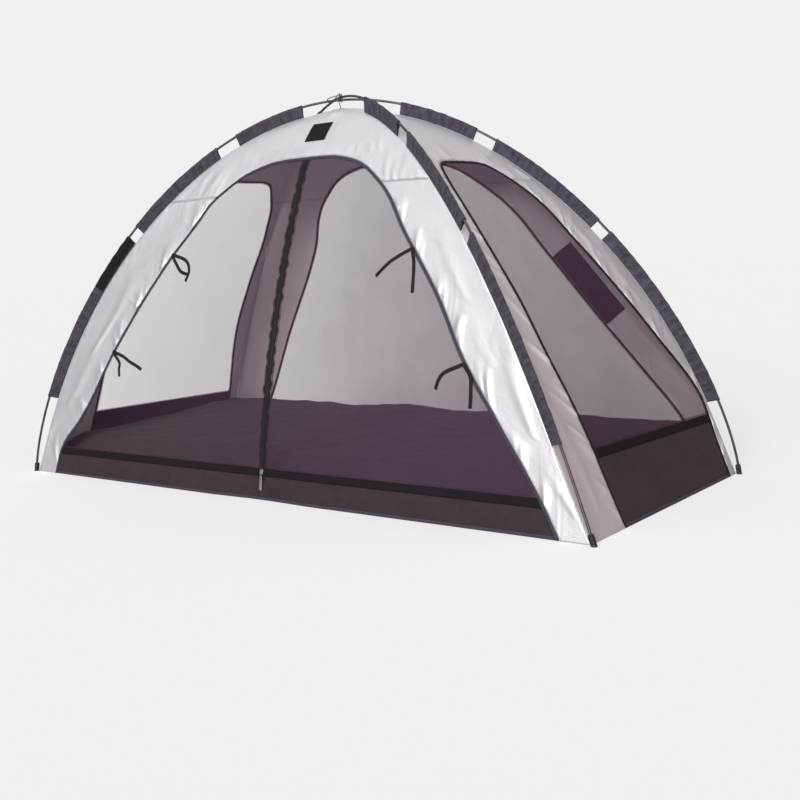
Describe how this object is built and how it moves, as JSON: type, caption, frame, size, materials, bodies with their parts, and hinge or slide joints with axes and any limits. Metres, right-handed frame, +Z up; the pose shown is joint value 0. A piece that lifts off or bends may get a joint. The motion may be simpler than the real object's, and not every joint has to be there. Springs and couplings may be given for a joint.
{
  "type": "mosquito net tent",
  "caption": "Dome-shaped mosquito net tent on two crossed bent poles, with silver fabric top and bands, net windows, a zipped front and a dark floor sheet.",
  "frame": {"origin": "centre of the base, on the surface that the tent stands on", "axes": "+X along the tent's length, +Y from the zipped front to the back, +Z up"},
  "size_m": [2.0164, 0.8552, 1.1109],
  "materials": {
    "pole_coating": "smooth coated rod",
    "dark_fabric": "thin plain-woven polyester, dark plum grey",
    "silver_fabric": "silver-coated taffeta, satin",
    "binding": "woven tape and cord, matt",
    "net": "fine translucent mesh",
    "zip_tape": "woven tape with moulded teeth",
    "zip_metal": "plated die-cast metal",
    "cup_plastic": "moulded, satin"
  },
  "bodies": {
    "tent": {"pole_lower_section_1": "pole_coating", "pole_lower_section_2": "pole_coating", "pole_lower_section_3": "pole_coating", "pole_upper_section_1": "pole_coating", "pole_upper_section_2": "pole_coating", "pole_upper_section_3": "pole_coating", "sleeve_front_left_low": "dark_fabric", "sleeve_front_left_middle": "dark_fabric", "sleeve_front_left_top": "dark_fabric", "sleeve_back_right_low": "dark_fabric", "sleeve_back_right_middle": "dark_fabric", "sleeve_back_right_top": "dark_fabric", "sleeve_front_right_low": "dark_fabric", "sleeve_front_right_middle": "dark_fabric", "sleeve_front_right_top": "dark_fabric", "sleeve_back_left_low": "dark_fabric", "sleeve_back_left_middle": "dark_fabric", "sleeve_back_left_top": "dark_fabric", "band_front_left": "silver_fabric", "band_front_right": "silver_fabric", "band_back_left": "silver_fabric", "band_back_right": "silver_fabric", "band_left_front": "silver_fabric", "band_left_back": "silver_fabric", "band_right_front": "silver_fabric", "band_right_back": "silver_fabric", "crown": "silver_fabric", "skirt_front": "dark_fabric", "skirt_back": "dark_fabric", "skirt_left": "dark_fabric", "skirt_right": "dark_fabric", "piping_front": "binding", "piping_back": "binding", "piping_left": "binding", "piping_right": "binding", "net_back": "net", "net_left": "net", "net_right": "net", "door_left": "net", "door_right": "net", "zip_tape_left": "zip_tape", "zip_tape_right": "zip_tape", "floor_sheet": "dark_fabric", "pocket_back": "dark_fabric", "pocket_front": "dark_fabric", "patch": "dark_fabric", "tie_front_left_upper": "binding", "tie_front_left_lower": "binding", "tie_front_right_upper": "binding", "tie_front_right_lower": "binding", "crossing_cord": "binding", "cup_front_left": "cup_plastic", "cup_back_right": "cup_plastic", "cup_front_right": "cup_plastic", "cup_back_left": "cup_plastic"},
    "slider": {"slider": "zip_metal"},
    "pull_outer": {"pull_outer": "zip_metal"},
    "pull_inner": {"pull_inner": "zip_metal"}
  },
  "joints": [
    {"name": "zip_run", "type": "hinge", "parent": "tent", "child": "slider", "pos_m": [0, 2.79235, -0.37523], "axis": [-1, 0, 0], "range_deg": [0, 15]},
    {"name": "outer_pull_swing", "type": "hinge", "parent": "slider", "child": "pull_outer", "pos_m": [0, -0.40358, 0.07571], "axis": [-1, 0, 0], "range_deg": [0, 150]},
    {"name": "inner_pull_swing", "type": "hinge", "parent": "slider", "child": "pull_inner", "pos_m": [0, -0.39556, 0.07457], "axis": [1, 0, 0], "range_deg": [-5, 140]}
  ]
}
